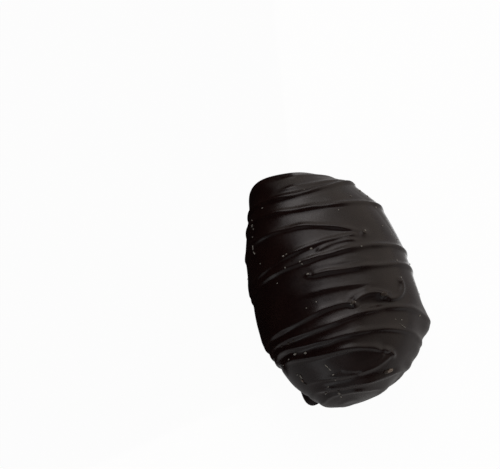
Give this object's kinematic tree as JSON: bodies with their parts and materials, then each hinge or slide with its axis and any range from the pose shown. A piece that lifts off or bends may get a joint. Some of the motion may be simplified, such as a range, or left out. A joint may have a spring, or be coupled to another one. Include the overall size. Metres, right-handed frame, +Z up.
{
  "type": "peanut butter egg",
  "caption": "Egg-shaped peanut butter sweet dipped in dark chocolate, with thick strings of chocolate laid across it, lying on its flat underside.",
  "frame": {"origin": "centre of the bounding box at the underside, on the surface that the egg lies on", "axes": "+Y along the egg's length towards its blunt end, +Z up, +X across the egg along the strings"},
  "size_m": [0.047, 0.0648, 0.0281],
  "materials": {
    "dark_chocolate": "set dark chocolate with a soft, slightly smudged shine"
  },
  "bodies": {
    "root": {"egg": "dark_chocolate"}
  },
  "joints": []
}
